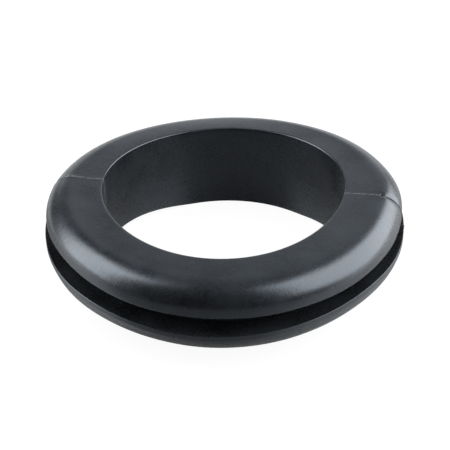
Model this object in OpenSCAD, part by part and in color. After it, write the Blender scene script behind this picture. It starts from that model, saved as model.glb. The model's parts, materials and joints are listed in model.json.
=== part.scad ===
// Rubber cable grommet with a groove for a panel, moulded as one ring.
// It stands on its tapered flange: the origin is at the centre of the foot, the axis is Z.

/* [Bore] */

// Diameter of the hole that a cable goes through
bore_d = 40; // [16:0.5:80]

/* [Groove] */

// Thickness of the sleeve, between the bore and the floor of the groove
sleeve_t = 5; // [1.5:0.1:8]
// Width of the groove, which is the thickness of the panel it grips
groove_w = 2.5; // [1.2:0.1:6]
// Radius in the two inner corners of the groove
root_r = 0.4; // [0.1:0.05:0.5]

/* [Face flange] */

// Reach of the face flange past the floor of the groove
face_reach = 3.4; // [2:0.05:8]
// Thickness of the face flange
face_t = 4.1; // [2:0.1:8]
// Radius of the face flange's shoulder
shoulder_r = 3.8; // [1:0.1:6]

/* [Lead-in flange] */

// Reach of the lead-in flange past the floor of the groove
lead_reach = 4.2; // [2:0.05:8]
// Thickness of the lead-in flange
lead_t = 8.6; // [3:0.1:16]
// Height of the lead-in flange's upright rim, above its taper
rim_t = 0.8; // [0.6:0.1:2]
// Width of the flat foot that the ring stands on
foot_w = 0.8; // [0.5:0.1:1.5]
// How far the taper bulges out from a straight cone
taper_bulge = 1.6; // [0.2:0.1:2]

/* [Edges] */

// Radius of the moulded edges
edge_r = 0.25; // [0.1:0.05:0.5]

/* [Hidden] */

// Facets of the preview; the solids are true rounds
$fn = 144;

// Overlap that keeps a cutter or a filler from ending on a surface
lap = 0.1;

bore_r = bore_d / 2;
floor_r = bore_r + sleeve_t;
face_r = floor_r + face_reach;
lead_r = floor_r + lead_reach;

groove_z = lead_t;
face_z = groove_z + groove_w;
top_z = face_z + face_t;

// The shoulder leaves room for the rounded edge under it and for the one at the bore
shoulder = min(shoulder_r, face_t - edge_r, face_r - bore_r - edge_r);

// Corner square at the origin without the round inside it, towards [x_dir, y_dir].
// It trims an outside corner and fills an inside one.
module corner(r, x_dir, y_dir)
    mirror([x_dir < 0 ? 1 : 0, 0])
        mirror([0, y_dir < 0 ? 1 : 0])
            difference() {
                translate([-lap, -lap]) square(r + lap);
                translate([r, r]) circle(r);
            }

// Half section of the flange on the face of the panel: flat ring and round shoulder
module face_section()
    difference() {
        translate([bore_r, face_z]) square([face_r - bore_r, face_t]);
        translate([face_r, top_z]) corner(shoulder, -1, -1);
        translate([face_r, face_z]) corner(edge_r, -1, 1);
        translate([bore_r, top_z]) corner(edge_r, 1, -1);
    }

// Half section of the sleeve in the panel's hole, with its filleted roots
module sleeve_section() {
    translate([bore_r, groove_z - lap]) square([sleeve_t, groove_w + 2 * lap]);
    translate([floor_r, face_z]) corner(root_r, 1, -1);
    translate([floor_r, groove_z]) corner(root_r, 1, 1);
}

// Half section of the flange behind the panel. Its underside is one arc that runs from
// the foot to the rim and bulges from the straight line between them.
module lead_section() {
    foot = [bore_r + foot_w, 0];
    rim = [lead_r, lead_t - rim_t];
    chord = rim - foot;
    span = norm(chord);
    arc_r = pow(span, 2) / (8 * taper_bulge) + taper_bulge / 2;
    outward = [chord.y, -chord.x] / span;
    centre = (foot + rim) / 2 - outward * (arc_r - taper_bulge);
    difference() {
        union() {
            translate([bore_r, rim.y - lap]) square([lead_r - bore_r, rim_t + lap]);
            intersection() {
                translate([bore_r, 0]) square([lead_r - bore_r, rim.y]);
                translate(centre) circle(arc_r);
            }
        }
        translate([lead_r, groove_z]) corner(edge_r, -1, -1);
        translate([bore_r, 0]) corner(edge_r, 1, 1);
    }
}

module grommet()
    color([0.25, 0.27, 0.29])
        rotate_extrude() {
            face_section();
            sleeve_section();
            lead_section();
        }

grommet();
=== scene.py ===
import json
import math

import bpy
from mathutils import Matrix, Vector, noise


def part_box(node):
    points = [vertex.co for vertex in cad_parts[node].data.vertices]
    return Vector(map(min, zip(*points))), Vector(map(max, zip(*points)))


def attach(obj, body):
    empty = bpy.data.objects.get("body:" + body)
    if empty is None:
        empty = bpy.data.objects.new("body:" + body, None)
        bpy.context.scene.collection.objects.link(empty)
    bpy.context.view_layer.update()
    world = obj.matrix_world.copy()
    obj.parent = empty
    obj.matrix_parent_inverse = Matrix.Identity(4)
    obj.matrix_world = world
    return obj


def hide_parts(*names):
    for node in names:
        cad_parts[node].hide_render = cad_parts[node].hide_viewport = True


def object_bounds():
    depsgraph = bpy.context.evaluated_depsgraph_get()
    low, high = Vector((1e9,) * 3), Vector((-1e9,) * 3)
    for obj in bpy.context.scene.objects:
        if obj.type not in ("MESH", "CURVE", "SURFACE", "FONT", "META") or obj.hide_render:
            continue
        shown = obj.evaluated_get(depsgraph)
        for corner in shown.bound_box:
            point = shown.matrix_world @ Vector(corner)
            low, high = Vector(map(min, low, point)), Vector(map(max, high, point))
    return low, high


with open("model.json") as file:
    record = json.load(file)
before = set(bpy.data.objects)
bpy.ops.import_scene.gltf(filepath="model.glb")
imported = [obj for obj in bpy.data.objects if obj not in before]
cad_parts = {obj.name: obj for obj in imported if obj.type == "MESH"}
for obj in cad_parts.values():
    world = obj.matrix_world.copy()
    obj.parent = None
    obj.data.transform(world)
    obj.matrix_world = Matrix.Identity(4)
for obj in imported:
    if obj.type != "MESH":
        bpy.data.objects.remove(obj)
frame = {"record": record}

cad_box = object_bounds()

# ------------------------------------------------------------------ the camera
# A long lens looks down on the ring from the front, from about as far as a hand
# would hold it. It leans a little, so the ring's right side stands higher.
lens = 93.7
sensor = 36.0
camera_aim = Vector((0.00013, 0, 0.0079))
camera_distance = 0.1945
camera_dip = math.radians(33.3)
camera_lean = math.radians(-1.36)

camera_data = bpy.data.cameras.new("camera")
camera_data.lens = lens
camera_data.sensor_width = sensor
camera_data.clip_start = 0.01
camera = bpy.data.objects.new("camera", camera_data)
bpy.context.scene.collection.objects.link(camera)
looking_back = Vector((0, -math.cos(camera_dip), math.sin(camera_dip)))
camera.matrix_world = (
    Matrix.Translation(camera_aim + looking_back * camera_distance)
    @ Matrix.Rotation(math.pi / 2 - camera_dip, 4, "X")
    @ Matrix.Rotation(camera_lean, 4, "Z")
)
bpy.context.scene.camera = camera
bpy.context.scene.view_settings.view_transform = "Standard"


# ------------------------------------------------------------------ table and light
# A smooth white table with no visible end, under soft studio light: a wide softbox on
# each side of the ring, a dim one behind it, and a room that shows in its flat top.
table_size = 6.0
table_white = 0.15
polish_ior = 2.7
table_polish = 0.35
shadow_share = 0.12       # how much of the table's white depends on the light on it
shadow_near = 0.08        # the shadow dies out between these distances from the ring's axis
shadow_far = 0.2
white_from = 0.6          # light on the table from which on it shows white
reflected_white = 0.08    # share of that white which the rubber mirrors
reflected_white_behind = 0.8
behind_near = 0.02        # the share grows between these places behind the ring's axis
behind_far = 0.055
front_panel = 0.6         # a softbox has two panels: the front one's share of its light
front_trim = 0.1          # by which that panel is smaller than the softbox
back_margin = 0.12        # by which the back panel is larger
back_gap = 0.01           # by which it stands behind the front one


def calculated(tree, operation, *values):
    """What a Math node makes of these values, each of them a socket or a number."""
    calculation = tree.nodes.new("ShaderNodeMath")
    calculation.operation = operation
    for socket, value in zip(calculation.inputs, values):
        if isinstance(value, bpy.types.NodeSocket):
            tree.links.new(value, socket)
        else:
            socket.default_value = value
    return calculation.outputs["Value"]


def ramp(tree, value, start, end, low_value=0, high_value=1):
    """Goes from the low value to the high one while this value goes from start to end."""
    rising = tree.nodes.new("ShaderNodeMapRange")
    rising.inputs["From Min"].default_value = start
    rising.inputs["From Max"].default_value = end
    rising.inputs["To Min"].default_value = low_value
    rising.inputs["To Max"].default_value = high_value
    tree.links.new(value, rising.inputs["Value"])
    return rising.outputs["Result"]


def shader_mix(tree, share, first, second):
    """The first shader where the share is 0, and the second where it is 1."""
    mix = tree.nodes.new("ShaderNodeMixShader")
    for socket, value in zip(mix.inputs, (share, first, second)):
        tree.links.new(value, socket)
    return mix.outputs["Shader"]


bpy.ops.object.select_all(action="DESELECT")
bpy.ops.mesh.primitive_plane_add(size=table_size, location=(0, 0, cad_box[0][2]))
table = bpy.context.object
table.name = "table"

table_paint = bpy.data.materials.new("table paint")
table_paint.use_nodes = True
tree = table_paint.node_tree
nodes, links = tree.nodes, tree.links
nodes.clear()
matt = nodes.new("ShaderNodeBsdfDiffuse")
matt.inputs["Color"].default_value = (table_white, table_white, table_white, 1)
polish = nodes.new("ShaderNodeBsdfAnisotropic")
polish.inputs["Roughness"].default_value = table_polish
polish_share = nodes.new("ShaderNodeFresnel")
polish_share.inputs["IOR"].default_value = polish_ior
lit = shader_mix(tree, polish_share.outputs["Fac"], matt.outputs["BSDF"], polish.outputs["BSDF"])

# Seen straight on, the table is white and only keeps the ring's shadow.
place = nodes.new("ShaderNodeTexCoord")
from_ring = nodes.new("ShaderNodeVectorMath")
from_ring.operation = "LENGTH"
links.new(place.outputs["Object"], from_ring.inputs[0])
glow = nodes.new("ShaderNodeEmission")
least_glow = 1 - shadow_share * white_from
whiter = ramp(tree, from_ring.outputs["Value"], shadow_near, shadow_far, least_glow, 1)
links.new(whiter, glow.inputs["Strength"])
faint = nodes.new("ShaderNodeBsdfDiffuse")
faint.inputs["Color"].default_value = (shadow_share, shadow_share, shadow_share, 1)
white = nodes.new("ShaderNodeAddShader")
links.new(glow.outputs["Emission"], white.inputs[0])
links.new(faint.outputs["BSDF"], white.inputs[1])

# The rubber mirrors some of that white, and most of it from the table behind the ring.
split = nodes.new("ShaderNodeSeparateXYZ")
links.new(place.outputs["Object"], split.inputs["Vector"])
rays = nodes.new("ShaderNodeLightPath")
mirrored = ramp(
    tree, split.outputs["Y"], behind_near, behind_far, reflected_white, reflected_white_behind
)
mirrored = calculated(tree, "MULTIPLY", rays.outputs["Is Glossy Ray"], mirrored)
seen = calculated(tree, "MAXIMUM", rays.outputs["Is Camera Ray"], mirrored)
seen = calculated(tree, "MAXIMUM", seen, rays.outputs["Is Transmission Ray"])

output = nodes.new("ShaderNodeOutputMaterial")
links.new(shader_mix(tree, seen, lit, white.outputs["Shader"]), output.inputs["Surface"])
table.data.materials.append(table_paint)


def softbox(name, azimuth, elevation, distance, width, height, radiance, lean=0):
    """A softbox that faces the ring and fades towards its border. Its radiance is the
    brightness of its middle, and its lean turns it about the line to the ring."""
    azimuth, elevation = math.radians(azimuth), math.radians(elevation)
    away = Vector((
        math.cos(azimuth) * math.cos(elevation),
        math.sin(azimuth) * math.cos(elevation),
        math.sin(elevation),
    ))
    facing = away.to_track_quat("Z", "Y").to_matrix().to_4x4()
    for part, share, extra, back in (
        ("middle", front_panel, -front_trim, 0),
        ("border", 1 - front_panel, back_margin, back_gap),
    ):
        data = bpy.data.lights.new(f"{name} {part}", "AREA")
        data.shape = "RECTANGLE"
        data.size = width + extra
        data.size_y = height + extra
        data.energy = radiance * share * math.pi * data.size * data.size_y
        lamp = bpy.data.objects.new(f"{name} {part}", data)
        bpy.context.scene.collection.objects.link(lamp)
        lamp.matrix_world = (
            Matrix.Translation(camera_aim + away * (distance + back))
            @ facing
            @ Matrix.Rotation(math.radians(lean), 4, "Z")
        )


softbox(
    "left softbox", azimuth=173, elevation=35, lean=18,
    distance=0.7, width=0.54, height=0.86, radiance=4.7,
)
softbox(
    "right softbox", azimuth=2, elevation=30, lean=-30,
    distance=0.7, width=1.34, height=0.82, radiance=4.1,
)
softbox(
    "back softbox", azimuth=90, elevation=11,
    distance=1.2, width=1.2, height=0.35, radiance=0.9,
)

# The room is brighter behind the ring and on its right. The camera itself sees white.
world = bpy.data.worlds.new("studio")
bpy.context.scene.world = world
world.use_nodes = True
tree = world.node_tree
nodes, links = tree.nodes, tree.links
nodes.clear()
direction = nodes.new("ShaderNodeTexCoord")
split = nodes.new("ShaderNodeSeparateXYZ")
links.new(direction.outputs["Generated"], split.inputs["Vector"])
towards_back = ramp(
    tree, split.outputs["Y"], start=-0.3, end=0.62, low_value=0.03, high_value=0.42
)
towards_right = ramp(
    tree, split.outputs["X"], start=-0.2, end=0.03, low_value=0.35, high_value=1.08
)
room = nodes.new("ShaderNodeBackground")
room.inputs["Color"].default_value = (0.95, 1, 1.05, 1)
links.new(calculated(tree, "MULTIPLY", towards_back, towards_right), room.inputs["Strength"])
backdrop = nodes.new("ShaderNodeBackground")
backdrop.inputs["Color"].default_value = (1, 1, 1, 1)
rays = nodes.new("ShaderNodeLightPath")
output = nodes.new("ShaderNodeOutputWorld")
surroundings = shader_mix(
    tree, rays.outputs["Is Camera Ray"], room.outputs["Background"], backdrop.outputs["Background"]
)
links.new(surroundings, output.inputs["Surface"])


# ------------------------------------------------------------------ the ring
# One ring of black rubber, moulded in one shot in a two-part mould: bore, rounded face
# flange, groove for the panel and tapered lead-in flange. It stands on its foot.
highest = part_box("grommet")[1]
mounts = {mount["name"]: mount for mount in frame["record"]["mounts"]}
mm = 0.001
bore_r = mounts["bore"]["dims"]["r_mm"] * mm
sleeve_r = mounts["panel_groove"]["dims"]["r_mm"] * mm
groove_w = mounts["panel_groove"]["dims"]["length_mm"] * mm
groove_z = mounts["panel_groove"]["pos_m"][2] - groove_w / 2
face_z = groove_z + groove_w
lead_r = highest.x
top_z = highest.z
flange_step = 0.8 * mm    # by which the lead-in flange reaches further than the face flange
face_r = lead_r - flange_step
shoulder_r = 3.8 * mm
edge_r = 0.25 * mm
lip_edge_r = 0.08 * mm
lip_facet_end = 1.5 * lip_edge_r
root_r = 0.4 * mm
rim_t = 0.8 * mm
foot_w = 0.8 * mm
taper_bulge = 1.6 * mm
facet = 0.3 * mm          # length of the facets along the section
weld = 0.01 * mm          # points that are nearer to each other than this are merged


def selected_point():
    """Where the one selected vertex of the mesh in hand is, as radius and height."""
    bpy.context.object.update_from_editmode()
    end = next(point.co for point in bpy.context.object.data.vertices if point.select)
    return Vector((end.x, end.z))


def straight(radius, height):
    """Draws the section on from the selected vertex to this radius and height."""
    way = Vector((radius, height)) - selected_point()
    steps = max(1, round(way.length / facet))
    for _ in range(steps):
        bpy.ops.mesh.extrude_region_move(
            TRANSFORM_OT_translate={"value": (way.x / steps, 0, way.y / steps)}
        )


def bend(centre_radius, centre_height, degrees, steps):
    """Draws the section on along a round about this centre, clockwise where positive."""
    bpy.ops.mesh.spin(
        steps=steps,
        angle=math.radians(degrees),
        center=(centre_radius, 0, centre_height),
        axis=(0, -1, 0),
    )


# The section is drawn from a single point at the foot: up the bore, out over the face
# flange, in and out of the groove, and back down the taper.
bpy.ops.object.select_all(action="DESELECT")
bpy.ops.mesh.primitive_plane_add(size=mm, location=(bore_r, 0, edge_r))
ring = bpy.context.object
ring.name = "moulded_ring"
bpy.ops.object.transform_apply(location=True, rotation=False, scale=False)
bpy.ops.object.mode_set(mode="EDIT")
bpy.ops.mesh.select_mode(type="VERT")
bpy.ops.mesh.select_all(action="SELECT")
bpy.ops.mesh.merge(type="CENTER")

straight(bore_r, top_z - edge_r)
bend(bore_r + edge_r, top_z - edge_r, 90, steps=4)
straight(face_r - shoulder_r, top_z)
bend(face_r - shoulder_r, top_z - shoulder_r, 90, steps=20)
straight(face_r, face_z + edge_r)
bend(face_r - edge_r, face_z + edge_r, 90, steps=4)
straight(sleeve_r + root_r, face_z)
bend(sleeve_r + root_r, face_z - root_r, -90, steps=4)
straight(sleeve_r, groove_z + root_r)
bend(sleeve_r + root_r, groove_z + root_r, -90, steps=4)
straight(lead_r - lip_facet_end, groove_z)
straight(lead_r - lip_edge_r, groove_z)
bend(lead_r - lip_edge_r, groove_z - lip_edge_r, 90, steps=3)
straight(lead_r, groove_z - lip_facet_end)
rim = Vector((lead_r, groove_z - rim_t))
foot = Vector((bore_r + foot_w, 0))
straight(rim.x, rim.y)

# The taper is an arc from the rim to the foot, and bulges out from the straight way.
chord = rim - foot
taper_r = chord.length_squared / (8 * taper_bulge) + taper_bulge / 2
outward = Vector((chord.y, -chord.x)).normalized()
taper_centre = (rim + foot) / 2 - outward * (taper_r - taper_bulge)
taper_turn = math.degrees((rim - taper_centre).angle(foot - taper_centre))
bend(taper_centre.x, taper_centre.y, taper_turn, steps=36)

straight(bore_r + edge_r, 0)
bend(bore_r + edge_r, edge_r, 90, steps=4)
bpy.ops.mesh.select_all(action="SELECT")
bpy.ops.mesh.remove_doubles(threshold=weld)

# The section is spun round the bore. The steps are close together at the two places
# where the mould's halves meet: at the right, and a turn round the back from there.
part_azimuth = math.radians(-8.1)
back_turn = math.radians(178.5)
front_turn = math.radians(181.5)
part_step = math.radians(0.2)
part_steps = 2            # on each side of such a place
half_steps = 140
part_turn = part_step * part_steps
for turn, steps in (
    (part_turn, part_steps),
    (back_turn - 2 * part_turn, half_steps),
    (2 * part_turn, 2 * part_steps),
    (front_turn - 2 * part_turn, half_steps),
    (part_turn, part_steps),
):
    bpy.ops.mesh.spin(steps=steps, angle=turn, center=(0, 0, 0), axis=(0, 0, 1))
bpy.ops.mesh.select_all(action="SELECT")
bpy.ops.mesh.remove_doubles(threshold=weld)
bpy.ops.mesh.normals_make_consistent(inside=False)
bpy.ops.object.mode_set(mode="OBJECT")

# Where the mould's halves met, a thin flash stands up in broken dashes. Over the right
# shoulder and at the left edge it has torn out and left a narrow crack. The front half
# swells a little towards the crack. The outer skin is also slightly wavy.
on_line = 0.01 * mm       # a point that is nearer to the parting line than this is on it
fade = 1 * mm             # the stretch over which each of these marks sets in
flash_height = 0.06 * mm
flash_on_flat = 0.5       # times its height on the flat, and 1 more on the shoulders
flash_grain = 0.8 * mm    # about the length of a dash
flash_cover = 0.45        # how whole the flash is
flash_contrast = 1.6      # how much it varies along the line
crack_start = 0.3         # how far into the shoulder's fade
crack_width = 0.5 * mm
crack_floor_width = 0.3 * mm
crack_depth = 0.3 * mm
crack_side = 0.4          # share of its depth beside the floor
crack_bridge = 0.3        # share of it where a bridge of rubber is left
crack_bridge_below = -0.35
left_crack_r = face_r - 1 * mm
front_swell = 0.07 * mm
swell_reach = 1.3 * mm
wave_height = 0.02 * mm
wave_length = 6 * mm


def clipped(value):
    """The value, held between 0 and 1."""
    return min(1, max(0, value))


normals = [point.normal.copy() for point in ring.data.vertices]
for point, normal in zip(ring.data.vertices, normals):
    x, y, z = point.co
    radius = math.hypot(x, y)
    off_line = y if x > 0 else x * math.sin(back_turn) - y * math.cos(back_turn)
    above_foot = clipped(z / fade)
    outside = clipped((radius - bore_r) / fade) * above_foot
    on_shoulder = clipped((radius - face_r + shoulder_r) / fade) * outside
    torn = z > groove_z + groove_w / 2 and (x > 0 or radius > left_crack_r)
    on_crack = on_shoulder if torn else 0
    rise = wave_height * outside * noise.noise(point.co / wave_length)
    if off_line < -on_line:
        rise += front_swell * on_crack * math.exp(off_line / swell_reach)
    dash = noise.noise(Vector((x, 0, z)) / flash_grain)
    if on_crack > crack_start and abs(off_line) < crack_width / 2:
        bridge = crack_bridge if dash < crack_bridge_below else 1
        side = crack_side if abs(off_line) > crack_floor_width / 2 else 1
        rise -= crack_depth * bridge * side
    elif abs(off_line) < on_line:
        unbroken = clipped(flash_cover + flash_contrast * dash)
        rise += flash_height * (flash_on_flat + on_shoulder) * unbroken * above_foot
    point.co += normal * rise

ring.data.transform(Matrix.Rotation(part_azimuth, 4, "Z"))

# The soft ring is not quite true. Both flanges stand higher at the two sides than at the
# front and the back, and are wider there. The face flange also leans to the front. The
# foot is off the table at the two sides, and the bore's upper lip is slightly egg-shaped.
# A lift goes up at the sides and down at the front and the back, an oval likewise goes
# out and in, and a rise or growth goes all round.
bore_lift = 0.16 * mm
foot_rise = 0.7 * mm
foot_lift = 1.45 * mm
foot_lift_azimuth = math.radians(-12)
foot_ease = 0.15 * mm
lip_shrink = 0.13 * mm
lip_oval = -0.13 * mm
lip_egg = 0.52 * mm
lip_lobes = 0.32 * mm
face_lip_lift = 1.0 * mm
face_lift_azimuth = math.radians(8.7)
face_growth = -0.06 * mm
face_oval = 0.42 * mm
face_lean = Vector((-0.12, -0.5)) * mm
lead_lip_lift = 1.28 * mm
lead_lift_azimuth = math.radians(-2.1)
lead_growth = -0.05 * mm
lead_oval = 0.24 * mm
taper_give = 0.87 * mm
taper_pinch = 0.36 * mm
pinch_bias = 0.3          # how much stronger the pinch is at the right than in the middle
hump_scale = 9.5          # brings the taper's hump to a height of about 1
sleeve_reach = (sleeve_r - bore_r) / (lead_r - bore_r)

# Here and there a flange swells out or droops a little: azimuth and reach round the ring
# in degrees, way out and way up in millimetres.
face_swells = (
    (-16, 17, 0, -0.84),
    (1, 13, 0.47, 0),
    (-50, 12, 0.18, 0),
    (-118, 12, 0.14, 0),
    (-150, 14, -0.15, 0),
    (130, 22, 0.47, 0),
    (90, 40, 0.05, 0.16),
)
lead_swells = (
    (-25, 13, 0.3, -0.15),
    (-150, 14, 0.22, -0.15),
    (180, 14, -0.08, 0),
)


def mix_of(low_value, high_value, share):
    """The value that lies this share of the way from the low value to the high one."""
    return low_value + (high_value - low_value) * clipped(share)


def saddle(azimuth, peak=0):
    """1 towards the peak's azimuth and opposite it, and -1 square to them."""
    return math.cos(2 * (azimuth - peak))


def swelling(swells, azimuth):
    """How far the local swells push a flange's lip out and up at this azimuth."""
    out = up = 0
    for where, spread, most_out, most_up in swells:
        away = (math.degrees(azimuth) - where + 180) % 360 - 180
        near = math.exp(-(away / spread) ** 2)
        out += near * most_out * mm
        up += near * most_up * mm
    return out, up


def lead_sag(radius, height, azimuth):
    """How far the lead-in flange gives out and up at this place. Its upper face bends like
    a shelf, and the taper under it follows less in its middle."""
    swell_out, swell_up = swelling(lead_swells, azimuth)
    reach = (radius - bore_r) / (lead_r - bore_r)
    above_rim = (height - groove_z + rim_t) / rim_t
    sideways = saddle(azimuth, lead_lift_azimuth)
    hump = hump_scale * reach ** 3 * (1 - reach)
    under = lead_lip_lift * reach ** 2 - taper_give * hump
    shelf = lead_lip_lift * mix_of(min(1, reach / sleeve_reach) ** 2, reach ** 2, sideways)
    pinch = taper_pinch * (1 + pinch_bias * math.cos(azimuth)) * math.sin(2 * azimuth) ** 2
    up = mix_of(under, shelf, above_rim) * sideways + mix_of(pinch * hump, 0, above_rim)
    up += swell_up * reach ** 2
    out = (lead_growth + lead_oval * saddle(azimuth) + swell_out) * reach ** 2
    return out, up


def face_sag(radius, azimuth, outward):
    """How far the face flange gives out and up at this place."""
    swell_out, swell_up = swelling(face_swells, azimuth)
    reach = (radius - bore_r) / (face_r - bore_r)
    up = (face_lip_lift * saddle(azimuth, face_lift_azimuth) + swell_up) * reach ** 2
    out = face_growth + face_oval * saddle(azimuth) + face_lean.dot(outward) + swell_out
    return out * reach ** 2, up


def bore_sag(radius, height, azimuth):
    """How far the wall of the bore gives out and up at this place."""
    reach = min(1, (radius - bore_r) / (face_r - bore_r))
    near_bore = (1 - reach) ** 3
    level = height / top_z
    foot_up = foot_rise + foot_lift * saddle(azimuth, foot_lift_azimuth)
    foot_up = (foot_up + math.hypot(foot_up, foot_ease)) / 2
    up = bore_lift * saddle(azimuth, face_lift_azimuth) * level * (1 - reach ** 2)
    up += foot_up * near_bore * (1 - level)
    out = lip_oval * saddle(azimuth) - lip_shrink
    out += lip_egg * math.sin(azimuth) + lip_lobes * math.sin(3 * azimuth)
    return out * near_bore * level, up


for point in ring.data.vertices:
    height = point.co.z
    radius = point.co.xy.length
    azimuth = math.atan2(point.co.y, point.co.x)
    outward = Vector((math.cos(azimuth), math.sin(azimuth)))
    lead_out, lead_up = lead_sag(radius, height, azimuth)
    face_out, face_up = face_sag(radius, azimuth, outward)
    bore_out, bore_up = bore_sag(radius, height, azimuth)
    in_face = (height - groove_z) / groove_w
    point.co.xy += outward * (mix_of(lead_out, face_out, in_face) + bore_out)
    point.co.z += mix_of(lead_up, face_up, in_face) + bore_up

bpy.ops.object.shade_smooth_by_angle(angle=math.radians(40))

# The rubber is filled with carbon and comes straight from a satin mould: nearly black in
# itself, with a cool soft sheen, a fine grain, and a faint cloudy bloom that comes out
# with age.
rubber_black = (0.002, 0.0023, 0.0028, 1)
bloom_grey = (0.0105, 0.012, 0.014, 1)
# The flash's pale grey is a painted highlight where its bead catches the softboxes, brightest over
# the left shoulder.
flash_highlight_grey = (0.075, 0.078, 0.08, 1)
# The crack's black is painted shade in its recess.
crack_shade_black = (0.001, 0.001, 0.001, 1)
grain_share = 0.6         # how much the grain shows in the colour, next to the bloom
flash_highlight = 0.75
left_highlight = 2         # added to it over the left shoulder
rubber_roughness = 0.235
bloom_roughness = 0.055   # each of these is added where it shows
mottle_roughness = 0.035
line_roughness = 0.5
rubber = bpy.data.materials.new("black rubber")
rubber.use_nodes = True
tree = rubber.node_tree
nodes, links = tree.nodes, tree.links
shader = nodes["Principled BSDF"]
shader.inputs["Specular IOR Level"].default_value = 1
shader.inputs["Specular Tint"].default_value = (0.8, 0.89, 1, 1)
shader.inputs["Sheen Weight"].default_value = 0.15
shader.inputs["Sheen Roughness"].default_value = 0.3
shader.inputs["Sheen Tint"].default_value = (0.88, 0.94, 1, 1)
place = nodes.new("ShaderNodeTexCoord")


def cloud(size, detail):
    """A soft noise of this feature size, mostly between 0 and 1."""
    noise_node = nodes.new("ShaderNodeTexNoise")
    noise_node.inputs["Scale"].default_value = 1 / size
    noise_node.inputs["Detail"].default_value = detail
    links.new(place.outputs["Object"], noise_node.inputs["Vector"])
    return ramp(tree, noise_node.outputs["Fac"], start=0.3, end=0.7)


def product(value, *factors):
    """The value times each of the factors."""
    for factor in factors:
        value = calculated(tree, "MULTIPLY", value, factor)
    return value


def tinted(base, colour, share, beyond=False):
    """The base colour, brought to this colour by the share, or even beyond it."""
    mix = nodes.new("ShaderNodeMix")
    mix.data_type = "RGBA"
    mix.clamp_factor = not beyond
    mix.inputs["B"].default_value = colour
    links.new(share, mix.inputs["Factor"])
    if isinstance(base, bpy.types.NodeSocket):
        links.new(base, mix.inputs["A"])
    else:
        mix.inputs["A"].default_value = base
    return mix.outputs["Result"]


def embossed(pattern, height, strength, normal=None):
    """The way the surface faces once this pattern stands up from it by this height."""
    bump = nodes.new("ShaderNodeBump")
    bump.inputs["Distance"].default_value = height
    bump.inputs["Strength"].default_value = strength
    links.new(pattern, bump.inputs["Height"])
    if normal is not None:
        links.new(normal, bump.inputs["Normal"])
    return bump.outputs["Normal"]


bloom = cloud(size=5 * mm, detail=5)
mottle = cloud(size=0.8 * mm, detail=3)
grain = cloud(size=0.4 * mm, detail=3)

# The parting line's colour, in coordinates turned so that its right half lies along X.
along = nodes.new("ShaderNodeMapping")
along.inputs["Rotation"].default_value = (0, 0, -part_azimuth)
links.new(place.outputs["Object"], along.inputs["Vector"])
split = nodes.new("ShaderNodeSeparateXYZ")
links.new(along.outputs["Vector"], split.inputs["Vector"])
rightward, upward = split.outputs["X"], split.outputs["Z"]
leftward = calculated(tree, "MINIMUM", rightward, 0)
back_slope = math.tan(math.pi - back_turn)
off_line = calculated(tree, "MULTIPLY_ADD", leftward, back_slope, split.outputs["Y"])
off_line = calculated(tree, "ABSOLUTE", off_line)
line = ramp(tree, off_line, start=0.18 * mm, end=0.1 * mm)
gap = ramp(tree, off_line, start=0.26 * mm, end=0.16 * mm)

# It is torn over the right shoulder and at the left edge, above the groove. Elsewhere the flash in
# dashes is painted pale as a highlight, brightest over the left shoulder.
flat_r = face_r - shoulder_r
torn_right = ramp(tree, rightward, start=flat_r + 0.2 * mm, end=flat_r + 0.5 * mm)
torn_left = ramp(tree, rightward, start=0.2 * mm - left_crack_r, end=-left_crack_r)
in_face = ramp(tree, upward, start=groove_z + groove_w / 2, end=face_z)
torn = product(calculated(tree, "MAXIMUM", torn_right, torn_left), in_face)
whole = calculated(tree, "SUBTRACT", 1, torn)
dashes = ramp(tree, cloud(size=0.45 * mm, detail=2), start=0.25, end=0.5)
on_left_shoulder = ramp(tree, rightward, start=-flat_r, end=-flat_r - 1 * mm)
painted_highlight = calculated(tree, "MULTIPLY_ADD", on_left_shoulder, left_highlight, flash_highlight)
painted_flash_highlight = product(line, dashes, whole, painted_highlight)
# The crack is painted black as shade in its recess.
crack_shade = product(gap, torn)

speckle = calculated(tree, "MULTIPLY_ADD", grain, grain_share, bloom)
colour = tinted(rubber_black, bloom_grey, speckle, beyond=True)
colour = tinted(colour, flash_highlight_grey, painted_flash_highlight, beyond=True)
colour = tinted(colour, crack_shade_black, crack_shade)
links.new(colour, shader.inputs["Base Color"])

roughness = rubber_roughness
for pattern, added in (
    (bloom, bloom_roughness),
    (mottle, mottle_roughness),
    (line, line_roughness),
):
    roughness = calculated(tree, "MULTIPLY_ADD", pattern, added, roughness)
links.new(roughness, shader.inputs["Roughness"])

peel = embossed(mottle, height=0.008 * mm, strength=0.5)
skin = embossed(grain, height=0.01 * mm, strength=0.2, normal=peel)
links.new(skin, shader.inputs["Normal"])
ring.data.materials.append(rubber)

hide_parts("grommet")
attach(ring, "root")
